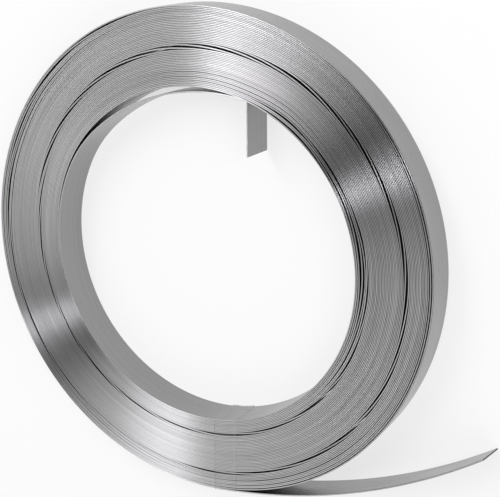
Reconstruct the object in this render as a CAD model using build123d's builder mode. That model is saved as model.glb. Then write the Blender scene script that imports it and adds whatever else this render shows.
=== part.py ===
import os
from math import cos, degrees, radians, sin

from build123d import *

# The strip that the coil is wound from
strip_width = 19.05
strip_thickness = 0.762

# The wound body, lying on its end with its axis along Z
bore_radius = 80.6
turn_count = 48
turn_gap = 0.0193

# Turn lines on both ends, one for every fifth turn
turns_per_line = 5
turn_line_side = 0.3
turn_line_tilt = 45.0

# The inner end: the first turn has sprung off the bore wall and is bent in to make a tab
peel_angle = 156.0
peel_radius = 64.0
peel_turn = 24.0
loose_radius = 96.0
loose_turn = 53.3
tab_bend_radius = 0.9
tab_bend = 77.7
tab_length = 24.4

# The bore wall behind the loose turn, drawn away from it by a shift of its centre
opened_wall_shift = 0.9
opened_wall_angle = 80.0

# The outer end, which springs off the rim as a tail
tail_angle = -85.2
tail_radius = 275.6
tail_length = 143.4
tail_root = 0.15
tail_skew = 1.0

# Clear tape round the winding, beside the place where the tail springs off
tape_width = 12.0
tape_thickness = 0.06
tape_offset = 8.6
tape_slack = 0.35

# Reach of every cut past the faces that it goes through
cut_overrun = 5.0

# Worked-out sizes
turn_pitch = strip_thickness + turn_gap
winding_build = turn_count * turn_pitch
outer_radius = bore_radius + winding_build
middle_radius = bore_radius + winding_build / 2
line_pitch = turns_per_line * turn_pitch
line_count = (turn_count - 1) // turns_per_line
half_width = strip_width / 2
opened_wall_radius = (
    bore_radius + strip_thickness - opened_wall_shift * cos(radians(peel_angle - opened_wall_angle))
)
tail_turn = degrees(tail_length / tail_radius)


def rim_point(radius, angle):
    """Point at an angle from +X, turning towards +Y, in the plane of the turns."""
    return (radius * cos(radians(angle)), radius * sin(radians(angle)))


def heading(angle, way):
    """Direction of travel along a circle at an angle: way 1 runs from +X to +Y, way -1 back."""
    return (-way * sin(radians(angle)), way * cos(radians(angle)))


with BuildPart() as clear_tape:
    # A thin skin round the whole winding, flush with its ends, cut down to one tape's width
    with BuildSketch(Plane.XZ):
        with Locations((middle_radius + tape_slack / 2, 0)):
            Rectangle(winding_build + tape_slack + 2 * tape_thickness, strip_width)
            Rectangle(
                winding_build + tape_slack,
                strip_width - 2 * tape_thickness,
                mode=Mode.SUBTRACT,
            )
    revolve(axis=Axis.Z)
    with Locations((tape_offset, 0, 0)):
        Box(
            tape_width,
            outer_radius + cut_overrun,
            strip_width + 2 * cut_overrun,
            align=(Align.MIN, Align.MAX, Align.CENTER),
            mode=Mode.INTERSECT,
        )

with BuildPart() as steel_coil:
    # Turned body: the section of the winding with a groove for each turn line
    with BuildSketch(Plane.XZ):
        with Locations((middle_radius, 0)):
            Rectangle(winding_build, strip_width)
        line_radii = [bore_radius + (k + 1) * line_pitch for k in range(line_count)]
        with Locations([(radius, side * half_width) for radius in line_radii for side in (-1, 1)]):
            Rectangle(turn_line_side, turn_line_side, rotation=turn_line_tilt, mode=Mode.SUBTRACT)
    revolve(axis=Axis.Z)

    # The bore wall that the loose turn has left
    with BuildSketch(Plane.XY):
        with Locations(rim_point(opened_wall_shift, opened_wall_angle)):
            Circle(opened_wall_radius)
        with Locations(Location((0, 0), peel_angle)):
            Rectangle(
                2 * outer_radius,
                outer_radius,
                align=(Align.CENTER, Align.MIN),
                mode=Mode.SUBTRACT,
            )
    extrude(amount=half_width + cut_overrun, both=True, mode=Mode.SUBTRACT)

    # Loose inner turn and its bent tab, one strip thickness outside the drawn inner face
    with BuildSketch(Plane.XY):
        with BuildLine():
            peel = JernArc(
                rim_point(bore_radius, peel_angle), heading(peel_angle, -1), peel_radius, -peel_turn
            )
            loose = JernArc(peel @ 1, peel % 1, loose_radius, -loose_turn)
            bend = JernArc(loose @ 1, loose % 1, tab_bend_radius, -tab_bend)
            Line(bend @ 1, bend @ 1 + tab_length * (bend % 1))
            offset(amount=strip_thickness, side=Side.LEFT)
        make_face()
    extrude(amount=half_width, both=True)

    # Outer tail, rooted just under the rim, with its back edge sprung out further so that it twists
    for height, skew in ((-half_width, tail_skew), (half_width, 0)):
        with BuildSketch(Plane.XY.offset(height)):
            with BuildLine():
                JernArc(
                    rim_point(outer_radius - tail_root, tail_angle),
                    heading(tail_angle - skew, 1),
                    tail_radius,
                    tail_turn,
                )
                offset(amount=strip_thickness, side=Side.LEFT)
            make_face()
    loft(ruled=True)

    # Room for the tape on both ends
    add(clear_tape.part, mode=Mode.SUBTRACT)

os.makedirs("parts", exist_ok=True)
steel_coil.part.label = "steel_coil"
export_step(steel_coil.part, "parts/steel_coil.step")
clear_tape.part.label = "clear_tape"
export_step(clear_tape.part, "parts/clear_tape.step")
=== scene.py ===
import math

import bpy
import numpy as np
from mathutils import Matrix, Vector


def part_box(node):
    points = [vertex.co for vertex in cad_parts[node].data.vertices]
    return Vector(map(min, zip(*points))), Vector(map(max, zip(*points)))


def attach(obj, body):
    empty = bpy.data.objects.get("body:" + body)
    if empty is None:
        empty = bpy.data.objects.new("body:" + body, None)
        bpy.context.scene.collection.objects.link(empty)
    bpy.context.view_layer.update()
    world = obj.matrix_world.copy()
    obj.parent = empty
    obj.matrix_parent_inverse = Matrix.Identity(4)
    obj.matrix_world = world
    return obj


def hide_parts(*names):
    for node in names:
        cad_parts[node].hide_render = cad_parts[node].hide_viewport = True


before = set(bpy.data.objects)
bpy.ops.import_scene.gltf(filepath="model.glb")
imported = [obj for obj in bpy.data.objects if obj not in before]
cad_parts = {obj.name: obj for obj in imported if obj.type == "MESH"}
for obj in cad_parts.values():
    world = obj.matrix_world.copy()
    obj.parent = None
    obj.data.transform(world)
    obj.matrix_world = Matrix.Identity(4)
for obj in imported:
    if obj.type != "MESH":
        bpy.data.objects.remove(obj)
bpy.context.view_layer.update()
coil_low, coil_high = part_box("steel_coil")
tape_low, tape_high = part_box("clear_tape")

MM = 0.001
SEED = 11

# The wound strip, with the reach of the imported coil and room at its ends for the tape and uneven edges
RIM_RADIUS = -coil_low.x
BORE_RADIUS = 80.6 * MM
STRIP_THICKNESS = 0.682 * MM
END_ROOM = 0.12 * MM
HALF_WIDTH = coil_high.z - END_ROOM
EDGE_ROUND = 0.25 * MM
EDGE_CROWN = math.radians(18.0)

# Sampling of the winding and of its ends
STEPS_PER_TURN = 160
FULL_TURNS = 47
STEP_ANGLE = 2 * math.pi / STEPS_PER_TURN
STEP_LENGTH = BORE_RADIUS * STEP_ANGLE
BEND_STEP_ANGLE = 3 * STEP_ANGLE

# The two sprung ends; angles run from +X towards +Y, seen from above
TAIL_ANGLE = math.radians(274.8)
TAIL_RADIUS = 275.6 * MM
TAIL_LENGTH = 143.4 * MM
TAIL_SKEW = math.radians(1.0)
PEEL_ANGLE = math.radians(156.0)
PEEL_RADIUS = 64.0 * MM
PEEL_TURN = math.radians(24.0)
LOOSE_RADIUS = 96.0 * MM
LOOSE_TURN = math.radians(53.3)
TAB_BEND_RADIUS = 0.9 * MM
TAB_BEND = math.radians(77.7)
TAB_LENGTH = 24.4 * MM

# Slack between the turns: a chain of crescent gaps that works its way in from the rim, a gap for each turn
CHAIN_START_TURN = 45.9
CHAIN_TURNS = 43.2
CHAIN_START_ANGLE = math.radians(115.0)
CHAIN_SWEEP = math.radians(665.0)
CHAIN_SWAY = math.radians(28.0)
CHAIN_LAG = math.radians(10.0)
CRESCENT_REACH = math.radians(17.0)
CRESCENT_GAP = 1.05 * MM
CRESCENT_LEAST_SHARE = 0.6

# Stretch of the chain where it is nearly closed
FADE_ANGLE = math.radians(251.0)
FADE_REACH = math.radians(28.0)
FADE_SHARE = 0.85

# Gap behind the root of the loose inner turn
PEEL_GAP = 0.7 * MM
PEEL_GAP_ANGLE = math.radians(149.0)
PEEL_GAP_REACH = math.radians(30.0)

# A short chain along the bore
BORE_CHAIN_TURNS = 5
BORE_CHAIN_ANGLE = math.radians(46.0)
BORE_CHAIN_STEP = math.radians(15.0)
BORE_CHAIN_REACH = math.radians(24.0)
BORE_CHAIN_GAP = 0.9 * MM

# Bunches of long gaps: the turns that they lie outside, the angle of their middle, their reach and width
BUNCHES = [
    ((turn,), BORE_CHAIN_ANGLE - BORE_CHAIN_STEP * turn, BORE_CHAIN_REACH, BORE_CHAIN_GAP)
    for turn in range(BORE_CHAIN_TURNS)
] + [
    ((1, 2), math.radians(-8.0), math.radians(50.0), 0.25 * MM),
    ((3, 5, 8), math.radians(75.0), math.radians(45.0), 0.25 * MM),
    ((40, 42, 43, 45), math.radians(160.0), math.radians(55.0), 0.55 * MM),
    ((44, 45), math.radians(12.0), math.radians(70.0), 0.5 * MM),
    ((40, 43, 45), math.radians(300.0), math.radians(45.0), 0.3 * MM),
    ((40, 42, 44), math.radians(238.0), math.radians(40.0), 0.3 * MM),
]
BUNCH_STRAY = math.radians(9.0)

# Share by which a gap is narrower at the back end
GAP_TAPER_SHARE = 0.8

# Uneven winding: how far single turns stand out of the ends, and how far their slit edges lean
EDGE_WANDER = 0.05 * MM
WANDER_TURNS = (0.7, 5.0)
EDGE_LEAN = math.radians(7.0)
LEAN_TURNS = (0.3, 4.0)
WAVE_COUNT = 14

# Noises are given by their waves a metre, along each axis or along the strip, and their detail
NOISE_BOUNDS = (0.3, 0.7)
BRUSH_TURN_SHARE = 0.25

# Wide faces of the strip
FACE_LINES = ((9.0, 9.0, 2600.0), 3.0)
FACE_CLOUDS = ((40.0, 40.0, 90.0), 4.0)
FACE_SPECKS = ((800.0, 800.0, 800.0), 1.0)
FACE_LINE_BOUNDS = (0.35, 0.65)
FACE_TONES = (0.285, 0.32)
FACE_ROUGHNESS = (0.16, 0.22)
FACE_BRUSH = 0.9
FACE_WAVE_STRENGTH = 0.1
FACE_WAVE_HEIGHT = 0.6 * MM
FACE_LINE_STRENGTH = 0.08
FACE_LINE_HEIGHT = 0.05 * MM
SPECK_BOUNDS = (0.73, 0.78)
SPECK_SHARE = 0.6
SPECK_TONE = (0.16, 0.15, 0.14)

# Slit edges of the strip, and the painted shade in the grooves between them, given at two places along X
EDGE_STREAKS = (7.0, 4.0)
EDGE_SHINE = (11.0, 2.0)
EDGE_TONES = (0.6, 0.82)
EDGE_ROUGHNESS = (0.4, 0.46)
EDGE_BRUSH = 1.0
GROOVE_SHADE_BOUNDS = (0.35, 0.85)
GROOVE_SHADE_PLACES = (20.0 * MM, 100.0 * MM)
GROOVE_SHADE_TONES = (0.42, 0.03)

# Sheared ends of the strip
CUT_GRAIN = ((1500.0, 1500.0, 300.0), 3.0)
CUT_TONES = (0.09, 0.16)
CUT_ROUGHNESS = 0.45
CUT_BUMP_STRENGTH = 0.3
CUT_BUMP_HEIGHT = 0.1 * MM

# Clear tape, with the breadth of the line that shows along each of its edges
FILM_WRINKLES = ((500.0, 120.0, 120.0), 2.0)
FILM_TONES = ((0.5, 0.51, 0.52), (0.6, 0.61, 0.62))
FILM_ROUGHNESS = 0.2
FILM_EDGE = 0.3 * MM
FILM_ALPHAS = (0.05, 0.3)

# Studio: a pale floor that shows as white, grey walls and two lamps that face the middle of the coil
FLOOR_SIZE = 8.0
FLOOR_PAINT = 0.82
FLOOR_WHITE = 0.7
WALL_SIDE = math.radians(122.0)
BRIGHT_WALL = 1.21
DARK_WALL = 0.1
DIM_WALL = 0.3
DIM_BLEND = (0.42, 0.75)
WALL_BLEND = (0.13, 0.46)
KEY_DISTANCE = 1.1
KEY_PLACE = KEY_DISTANCE * Vector((-0.315, 0.595, 0.74))
KEY_SIZE = (0.24, 0.8)
KEY_POWER = 4.3
SIDE_DISTANCE = 1.3
SIDE_PLACE = SIDE_DISTANCE * Vector((0.7, 0.325, 0.636))
SIDE_SIZE = (0.17, 0.6)
SIDE_POWER = 3.4
LAMP_TINT = (1.0, 0.985, 1.035)

# Camera, by its place from the middle of the coil
CAMERA_AIM = Vector((23.3, 6.1, 0.0)) * MM
CAMERA_PLACE = Vector((280.7, 167.2, 467.85)) * MM
CAMERA_UP = Vector((0, 1, 0))
CAMERA_LENS = 86.04
CAMERA_SENSOR = 36.0


def walk(start, heading, legs, longest_step, sharpest_step):
    """Points and headings along a chain of (length, turn) legs, a turn to the left being positive."""
    points = [np.array(start)]
    headings = [heading]
    for length, turn in legs:
        count = max(math.ceil(length / longest_step), math.ceil(abs(turn) / sharpest_step), 1)
        base = points[-1]
        first = headings[-1]
        for share in np.linspace(0, 1, count + 1)[1:]:
            now = first + turn * share
            if turn:
                shift = np.array((math.sin(now) - math.sin(first), math.cos(first) - math.cos(now)))
                points.append(base + length / turn * shift)
            else:
                points.append(base + length * share * np.array((math.cos(first), math.sin(first))))
            headings.append(now)
    return np.array(points), np.array(headings)


def winding_gaps(angles):
    """Gap outside the strip at each angle along the winding, without the even part."""
    random = np.random.default_rng(SEED)
    gaps = PEEL_GAP * bump(angles, PEEL_GAP_ANGLE, PEEL_GAP_REACH)
    for turn in np.arange(CHAIN_START_TURN, CHAIN_START_TURN - CHAIN_TURNS, -1):
        share = (CHAIN_START_TURN - turn) / CHAIN_TURNS
        place = CHAIN_START_ANGLE + CHAIN_SWEEP * share
        place += CHAIN_SWAY * math.sin(2 * math.pi * share) - CHAIN_LAG * math.sin(math.pi * share)
        along = PEEL_ANGLE + 2 * math.pi * int(turn) + (place - PEEL_ANGLE) % (2 * math.pi)
        size = CRESCENT_GAP * random.uniform(CRESCENT_LEAST_SHARE, 1)
        size *= 1 - FADE_SHARE * bump(place, FADE_ANGLE, FADE_REACH)
        gaps += size * bump(angles, along, CRESCENT_REACH)
    for turns, angle, reach, width in BUNCHES:
        for turn in turns:
            along = PEEL_ANGLE + 2 * math.pi * turn + (angle - PEEL_ANGLE) % (2 * math.pi)
            along += random.uniform(-BUNCH_STRAY, BUNCH_STRAY)
            gaps += width * random.uniform(CRESCENT_LEAST_SHARE, 1) * bump(angles, along, reach)
    return gaps


def bump(angles, middle, reach):
    """A smooth rise to 1 at the middle, which is 0 beyond the reach."""
    away = np.clip(np.abs(angles - middle) / reach, 0, 1)
    return np.cos(away * math.pi / 2) ** 2


def winding_radii(angles, gaps):
    """Inner radius of an even spiral at each step, and the rise there that makes room for the gaps."""
    turns = np.arange(len(gaps)) / STEPS_PER_TURN
    pitch = (RIM_RADIUS - STRIP_THICKNESS - BORE_RADIUS) / turns[-1]
    raised = PEEL_GAP * bump(angles, PEEL_GAP_ANGLE + 2 * math.pi, PEEL_GAP_REACH)
    for start in range(STEPS_PER_TURN, len(gaps), STEPS_PER_TURN):
        stop = min(start + STEPS_PER_TURN, len(gaps))
        below = slice(start - STEPS_PER_TURN, stop - STEPS_PER_TURN)
        raised[start:stop] = raised[below] + gaps[below]
    last = len(gaps) - 1 - (len(gaps) - 1 - np.arange(len(gaps))) % STEPS_PER_TURN
    eased = raised[last] / turns[last]
    return BORE_RADIUS + pitch * turns, raised - eased * turns


def strip_path():
    """Points, headings, outward sides and skews of the strip, from the tab to the end of the tail."""
    steps = round((FULL_TURNS * 2 * math.pi + TAIL_ANGLE - PEEL_ANGLE) / STEP_ANGLE)
    last = TAIL_ANGLE + FULL_TURNS * 2 * math.pi
    angles = last - STEP_ANGLE * np.arange(steps, -1, -1)
    radii, rises = winding_radii(angles, winding_gaps(angles))
    radii += rises + STRIP_THICKNESS / 2
    turns = np.column_stack((radii * np.cos(angles), radii * np.sin(angles)))
    turn_headings = angles + math.pi / 2

    # The inner end is walked from the bore wall to the tab, and then turned round
    half = STRIP_THICKNESS / 2
    legs = [
        ((PEEL_RADIUS + half) * PEEL_TURN, -PEEL_TURN),
        ((LOOSE_RADIUS + half) * LOOSE_TURN, -LOOSE_TURN),
        ((TAB_BEND_RADIUS + half) * TAB_BEND, -TAB_BEND),
        (TAB_LENGTH, 0),
    ]
    inner, inner_headings = walk(
        turns[0], turn_headings[0] - math.pi, legs, STEP_LENGTH, BEND_STEP_ANGLE
    )
    inner = inner[:0:-1]
    inner_headings = inner_headings[:0:-1] + math.pi

    tail_legs = [(TAIL_LENGTH, TAIL_LENGTH / TAIL_RADIUS)]
    tail, tail_headings = walk(turns[-1], turn_headings[-1], tail_legs, STEP_LENGTH, STEP_ANGLE)
    points = np.concatenate((inner, turns, tail[1:]))
    headings = np.concatenate((inner_headings, turn_headings, tail_headings[1:]))

    # How far the back edge lies from the front edge: narrower gaps, and a tail turned about its root
    outward = np.column_stack((np.sin(headings), -np.cos(headings)))
    skews = np.zeros_like(points)
    wound = slice(len(inner), len(inner) + len(turns))
    skews[wound] = -GAP_TAPER_SHARE * rises[:, None] * outward[wound]
    reach = tail[1:] - tail[0]
    cosine = math.cos(TAIL_SKEW)
    sine = math.sin(TAIL_SKEW)
    skews[wound.stop:, 0] = reach @ (cosine, sine) - reach[:, 0]
    skews[wound.stop:, 1] = reach @ (-sine, cosine) - reach[:, 1]
    return points, headings, outward, skews


def slow_waves(count, turns, seed):
    """A sum of slow waves along the strip, each between two numbers of turns long, from -1 to 1."""
    random = np.random.default_rng(seed)
    place = np.arange(count) / STEPS_PER_TURN
    height = np.zeros(count)
    for _ in range(WAVE_COUNT):
        height += np.sin(2 * math.pi * (place / random.uniform(*turns) + random.uniform()))
    return height / np.abs(height).max()


def strip_section():
    """Outline of the strip as (out, up) points with their normals, with rounded slit edges."""
    out = STRIP_THICKNESS / 2
    flat = HALF_WIDTH - EDGE_WANDER
    back = EDGE_ROUND * (1 - math.cos(math.pi / 4))
    diagonal = math.cos(math.pi / 4)
    quarter = [
        ((out, flat - EDGE_ROUND), (1, 0)),
        ((out - back, flat - back), (diagonal, diagonal)),
        ((out - EDGE_ROUND, flat), (math.sin(EDGE_CROWN), math.cos(EDGE_CROWN))),
    ]
    outline = []
    for out_side, end_side in ((1, 1), (-1, 1), (-1, -1), (1, -1)):
        corner = quarter if out_side * end_side > 0 else quarter[::-1]
        for (a, b), (na, nb) in corner:
            outline.append((out_side * a, end_side * b, out_side * na, end_side * nb))
    return np.array(outline)


def make_strip(materials):
    """One closed mesh of the whole strip, wound, with a cut face at both ends."""
    points, headings, outward, skews = strip_path()
    count = len(points)
    section = strip_section()
    sides = len(section)
    shift = EDGE_WANDER * slow_waves(count, WANDER_TURNS, SEED + 1)
    lean = EDGE_LEAN * slow_waves(count, LEAN_TURNS, SEED + 2)

    places = np.empty((count, sides, 3))
    end_reach = section[:, 1].max()
    back_shares = (1 - section[:, 1] / end_reach) / 2
    places[:, :, :2] = points[:, None, :] + outward[:, None, :] * section[None, :, 0, None]
    places[:, :, :2] += skews[:, None, :] * back_shares[None, :, None]
    places[:, :, 2] = shift[:, None] + section[None, :, 1]
    tilt = np.arctan2(section[:, 2], section[:, 3])[None, :] + lean[:, None] * section[None, :, 3]
    tilt -= np.arctan((skews * outward).sum(axis=1) / (2 * end_reach))[:, None]
    normals = np.empty_like(places)
    normals[:, :, :2] = outward[:, None, :] * np.sin(tilt)[:, :, None]
    normals[:, :, 2] = np.cos(tilt)

    ring = np.arange(count * sides).reshape(count, sides)
    following = np.roll(ring, -1, axis=1)
    quads = np.stack((ring[:-1], ring[1:], following[1:], following[:-1]), axis=-1).reshape(-1, 4)
    caps = [ring[0].tolist(), ring[-1][::-1].tolist()]
    mesh = bpy.data.meshes.new("wound_strip")
    mesh.from_pydata(places.reshape(-1, 3).tolist(), [], quads.tolist() + caps)

    # The wide faces, the slit edges and the two cut ends have a material each
    sideways = np.abs(section[:, 2]) == 1
    wide = sideways & np.roll(sideways, -1)
    kinds = np.tile(np.where(wide, 0, 1), count - 1)
    mesh.polygons.foreach_set("material_index", np.concatenate((kinds, (2, 2))).astype(np.int32))
    mesh.polygons.foreach_set("use_smooth", np.ones(len(mesh.polygons), dtype=bool))
    flat_normals = normals.reshape(-1, 3)
    start_normal = -np.array((math.cos(headings[0]), math.sin(headings[0]), 0))
    end_normal = np.array((math.cos(headings[-1]), math.sin(headings[-1]), 0))
    corner_normals = np.concatenate(
        (flat_normals[quads.ravel()], np.tile(start_normal, (sides, 1)), np.tile(end_normal, (sides, 1)))
    )
    mesh.normals_split_custom_set(corner_normals.tolist())
    steps = np.linalg.norm(np.diff(points, axis=0), axis=1)
    along = np.concatenate(((0,), np.cumsum(steps)))
    mesh.attributes.new("along", "FLOAT", "POINT").data.foreach_set("value", np.repeat(along, sides))
    groove = np.abs(section[:, 2])
    mesh.attributes.new("groove", "FLOAT", "POINT").data.foreach_set("value", np.tile(groove, count))
    for material in materials:
        mesh.materials.append(material)
    strip = bpy.data.objects.new("wound_strip", mesh)
    bpy.context.scene.collection.objects.link(strip)
    return strip


class Shader:
    """A material with a principled shader, and short ways to add nodes to it."""

    def __init__(self, name):
        self.material = bpy.data.materials.new(name)
        self.material.use_nodes = True
        self.tree = self.material.node_tree
        self.surface = self.tree.nodes["Principled BSDF"]

    def add(self, kind, **settings):
        node = self.tree.nodes.new(kind)
        for name, value in settings.items():
            setattr(node, name, value)
        return node

    def link(self, start, end):
        self.tree.links.new(start, end)

    def noise(self, scales, detail):
        """Noise over the object's own place, stretched by a scale for each axis."""
        place = self.add("ShaderNodeTexCoord")
        stretch = self.add("ShaderNodeMapping")
        stretch.inputs["Scale"].default_value = scales
        noise = self.add("ShaderNodeTexNoise")
        noise.inputs["Scale"].default_value = 1.0
        noise.inputs["Detail"].default_value = detail
        self.link(place.outputs["Object"], stretch.inputs["Vector"])
        self.link(stretch.outputs["Vector"], noise.inputs["Vector"])
        return noise.outputs["Fac"]

    def streaks(self, scale, detail):
        """Noise along the strip alone, so that neighbouring turns differ."""
        along = self.add("ShaderNodeAttribute", attribute_name="along")
        noise = self.add("ShaderNodeTexNoise", noise_dimensions="1D")
        noise.inputs["Scale"].default_value = scale
        noise.inputs["Detail"].default_value = detail
        self.link(along.outputs["Fac"], noise.inputs["W"])
        return noise.outputs["Fac"]

    def spread(self, value, bounds, targets=(0, 1)):
        """A value between two bounds taken to two others."""
        spread = self.add("ShaderNodeMapRange", clamp=True)
        spread.inputs["From Min"].default_value = bounds[0]
        spread.inputs["From Max"].default_value = bounds[1]
        spread.inputs["To Min"].default_value = targets[0]
        spread.inputs["To Max"].default_value = targets[1]
        self.link(value, spread.inputs["Value"])
        return spread.outputs["Result"]

    def mix(self, factor, first, second):
        """One colour turning into another."""
        mix = self.add("ShaderNodeMix", data_type="RGBA")
        for socket, colour in ((mix.inputs[6], first), (mix.inputs[7], second)):
            if isinstance(colour, tuple):
                socket.default_value = (*colour, 1.0)
            else:
                self.link(colour, socket)
        self.link(factor, mix.inputs[0])
        return mix.outputs[2]

    def brush(self, amount):
        """Reflections spread across the strip, as by fine lines along it."""
        place = self.add("ShaderNodeTexCoord")
        around = self.add("ShaderNodeVectorMath", operation="CROSS_PRODUCT")
        around.inputs[1].default_value = (0, 0, 1)
        self.link(place.outputs["Object"], around.inputs[0])
        self.link(around.outputs["Vector"], self.surface.inputs["Tangent"])
        self.surface.inputs["Anisotropic"].default_value = amount
        self.surface.inputs["Anisotropic Rotation"].default_value = BRUSH_TURN_SHARE

    def bump(self, height, strength, distance, under=None):
        bump = self.add("ShaderNodeBump")
        bump.inputs["Strength"].default_value = strength
        bump.inputs["Distance"].default_value = distance
        self.link(height, bump.inputs["Height"])
        if under:
            self.link(under, bump.inputs["Normal"])
        return bump.outputs["Normal"]


def grey(tone):
    return (tone, tone, tone)


def rolled_face():
    """Bright cold-rolled face: fine lines along the strip, faint clouds and a few dark specks."""
    steel = Shader("rolled_face")
    lines = steel.noise(*FACE_LINES)
    clouds = steel.noise(*FACE_CLOUDS)
    specks = steel.noise(*FACE_SPECKS)
    tone = steel.mix(steel.spread(lines, FACE_LINE_BOUNDS), grey(FACE_TONES[0]), grey(FACE_TONES[1]))
    tone = steel.mix(steel.spread(specks, SPECK_BOUNDS, (0, SPECK_SHARE)), tone, SPECK_TONE)
    steel.link(tone, steel.surface.inputs["Base Color"])
    steel.surface.inputs["Metallic"].default_value = 1.0
    steel.link(steel.spread(clouds, NOISE_BOUNDS, FACE_ROUGHNESS), steel.surface.inputs["Roughness"])
    steel.brush(FACE_BRUSH)
    waves = steel.bump(clouds, FACE_WAVE_STRENGTH, FACE_WAVE_HEIGHT)
    fine = steel.bump(lines, FACE_LINE_STRENGTH, FACE_LINE_HEIGHT, waves)
    steel.link(fine, steel.surface.inputs["Normal"])
    return steel.material


def slit_edge():
    """Slit edge of the strip: a tone that changes along the strip, and painted shade in the grooves, darker
    to the right.
    """
    steel = Shader("slit_edge")
    streaks = steel.streaks(*EDGE_STREAKS)
    shine = steel.streaks(*EDGE_SHINE)
    groove = steel.add("ShaderNodeAttribute", attribute_name="groove").outputs["Fac"]
    place = steel.add("ShaderNodeSeparateXYZ")
    steel.link(steel.add("ShaderNodeTexCoord").outputs["Object"], place.inputs[0])
    # Painted shade in the grooves between the turns: the groove sides darken, much more towards +X
    across = steel.spread(place.outputs["X"], GROOVE_SHADE_PLACES)
    groove_shade = steel.mix(across, grey(GROOVE_SHADE_TONES[0]), grey(GROOVE_SHADE_TONES[1]))
    tone = steel.mix(steel.spread(streaks, NOISE_BOUNDS), grey(EDGE_TONES[0]), grey(EDGE_TONES[1]))
    tone = steel.mix(steel.spread(groove, GROOVE_SHADE_BOUNDS), tone, groove_shade)
    steel.link(tone, steel.surface.inputs["Base Color"])
    steel.surface.inputs["Metallic"].default_value = 1.0
    steel.link(steel.spread(shine, NOISE_BOUNDS, EDGE_ROUGHNESS), steel.surface.inputs["Roughness"])
    steel.brush(EDGE_BRUSH)
    return steel.material


def cut_end():
    """Sheared end of the strip: dark and rough."""
    steel = Shader("cut_end")
    grain = steel.noise(*CUT_GRAIN)
    tone = steel.mix(steel.spread(grain, NOISE_BOUNDS), grey(CUT_TONES[0]), grey(CUT_TONES[1]))
    steel.link(tone, steel.surface.inputs["Base Color"])
    steel.surface.inputs["Metallic"].default_value = 1.0
    steel.surface.inputs["Roughness"].default_value = CUT_ROUGHNESS
    steel.link(steel.bump(grain, CUT_BUMP_STRENGTH, CUT_BUMP_HEIGHT), steel.surface.inputs["Normal"])
    return steel.material


def clear_film():
    """Clear tape: almost unseen, with small wrinkles and two edges that show as faint lines."""
    film = Shader("clear_film")
    wrinkles = film.noise(*FILM_WRINKLES)
    tone = film.mix(film.spread(wrinkles, NOISE_BOUNDS), *FILM_TONES)
    film.link(tone, film.surface.inputs["Base Color"])
    film.surface.inputs["Roughness"].default_value = FILM_ROUGHNESS
    place = film.add("ShaderNodeSeparateXYZ")
    film.link(film.add("ShaderNodeTexCoord").outputs["Object"], place.inputs[0])
    middle = film.add("ShaderNodeMath", operation="SUBTRACT")
    film.link(place.outputs["X"], middle.inputs[0])
    middle.inputs[1].default_value = (tape_low.x + tape_high.x) / 2
    away = film.add("ShaderNodeMath", operation="ABSOLUTE")
    film.link(middle.outputs[0], away.inputs[0])
    half = (tape_high.x - tape_low.x) / 2
    edge = film.spread(away.outputs[0], (half - FILM_EDGE, half), FILM_ALPHAS)
    film.link(edge, film.surface.inputs["Alpha"])
    return film.material


def make_floor():
    mesh = bpy.data.meshes.new("floor")
    half = FLOOR_SIZE / 2
    corners = [(x, y, coil_low.z) for x, y in ((-half, -half), (half, -half), (half, half), (-half, half))]
    mesh.from_pydata(corners, [], [(0, 1, 2, 3)])
    floor = bpy.data.objects.new("floor", mesh)
    bpy.context.scene.collection.objects.link(floor)

    material = bpy.data.materials.new("floor")
    material.use_nodes = True
    tree = material.node_tree
    tree.nodes.clear()
    output = tree.nodes.new("ShaderNodeOutputMaterial")
    paint = tree.nodes.new("ShaderNodeBsdfDiffuse")
    paint.inputs["Color"].default_value = (*grey(FLOOR_PAINT), 1)
    glow = tree.nodes.new("ShaderNodeEmission")
    path = tree.nodes.new("ShaderNodeLightPath")
    mix = tree.nodes.new("ShaderNodeMixShader")
    seen = path.outputs["Is Camera Ray"]
    for other in ("Is Glossy Ray", "Is Transmission Ray"):
        either = tree.nodes.new("ShaderNodeMath")
        either.operation = "MAXIMUM"
        tree.links.new(seen, either.inputs[0])
        tree.links.new(path.outputs[other], either.inputs[1])
        seen = either.outputs[0]
    part = tree.nodes.new("ShaderNodeMath")
    part.operation = "MULTIPLY"
    part.inputs[1].default_value = FLOOR_WHITE
    tree.links.new(seen, part.inputs[0])
    tree.links.new(part.outputs[0], mix.inputs[0])
    tree.links.new(paint.outputs[0], mix.inputs[1])
    tree.links.new(glow.outputs[0], mix.inputs[2])
    tree.links.new(mix.outputs[0], output.inputs["Surface"])
    mesh.materials.append(material)


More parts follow.
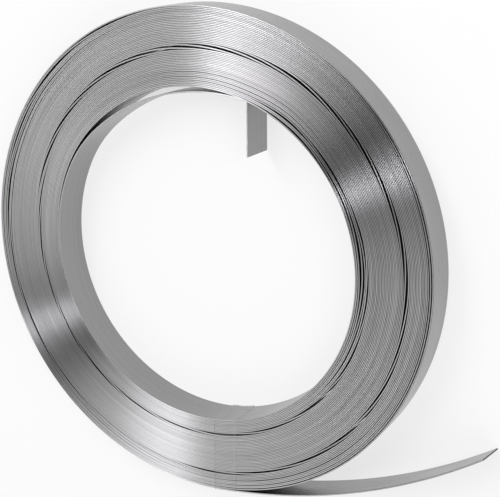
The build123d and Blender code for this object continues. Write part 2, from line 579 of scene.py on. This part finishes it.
def make_world():
    """A dark room with light walls on two sides that face each other, and a dim one between them."""
    world = bpy.data.worlds.new("studio")
    bpy.context.scene.world = world
    world.use_nodes = True
    tree = world.node_tree
    place = tree.nodes.new("ShaderNodeTexCoord").outputs["Generated"]

    def wall(angle, blend, tone, operation):
        across = tree.nodes.new("ShaderNodeVectorMath")
        across.operation = "DOT_PRODUCT"
        across.inputs[1].default_value = (math.cos(angle), math.sin(angle), 0)
        sides = tree.nodes.new("ShaderNodeMath")
        sides.operation = operation
        sides.inputs[1].default_value = 0
        ramp = tree.nodes.new("ShaderNodeMapRange")
        ramp.interpolation_type = "SMOOTHSTEP"
        ramp.inputs["From Min"].default_value = blend[0]
        ramp.inputs["From Max"].default_value = blend[1]
        ramp.inputs["To Min"].default_value = DARK_WALL
        ramp.inputs["To Max"].default_value = tone
        tree.links.new(place, across.inputs[0])
        tree.links.new(across.outputs["Value"], sides.inputs[0])
        tree.links.new(sides.outputs[0], ramp.inputs["Value"])
        return ramp.outputs["Result"]

    lighter = tree.nodes.new("ShaderNodeMath")
    lighter.operation = "MAXIMUM"
    tree.links.new(wall(WALL_SIDE, WALL_BLEND, BRIGHT_WALL, "ABSOLUTE"), lighter.inputs[0])
    tree.links.new(wall(WALL_SIDE + math.pi / 2, DIM_BLEND, DIM_WALL, "MAXIMUM"), lighter.inputs[1])
    tree.links.new(lighter.outputs[0], tree.nodes["Background"].inputs["Color"])


def make_lamp(name, place, size, power):
    lamp = bpy.data.lights.new(name, "AREA")
    lamp.shape = "RECTANGLE"
    lamp.size, lamp.size_y = size
    lamp.energy = power
    lamp.color = LAMP_TINT
    holder = bpy.data.objects.new(name, lamp)
    holder.location = place
    holder.rotation_mode = "QUATERNION"
    holder.rotation_quaternion = (-place).to_track_quat("-Z", "Y")
    holder.visible_camera = False
    bpy.context.scene.collection.objects.link(holder)


def make_camera():
    camera = bpy.data.cameras.new("camera")
    camera.lens = CAMERA_LENS
    camera.sensor_width = CAMERA_SENSOR
    holder = bpy.data.objects.new("camera", camera)
    holder.location = CAMERA_PLACE
    back = (CAMERA_PLACE - CAMERA_AIM).normalized()
    right = CAMERA_UP.cross(back).normalized()
    turned = Matrix((right, back.cross(right), back)).transposed()
    holder.rotation_mode = "QUATERNION"
    holder.rotation_quaternion = turned.to_quaternion()
    bpy.context.scene.collection.objects.link(holder)
    bpy.context.scene.camera = holder


strip = make_strip([rolled_face(), slit_edge(), cut_end()])
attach(strip, "root")
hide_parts("steel_coil")

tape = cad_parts["clear_tape"]
tape.data.materials.clear()
tape.data.materials.append(clear_film())

make_floor()
make_world()
make_lamp("key_lamp", KEY_PLACE, KEY_SIZE, KEY_POWER)
make_lamp("side_lamp", SIDE_PLACE, SIDE_SIZE, SIDE_POWER)
make_camera()
bpy.context.scene.view_settings.view_transform = "Standard"
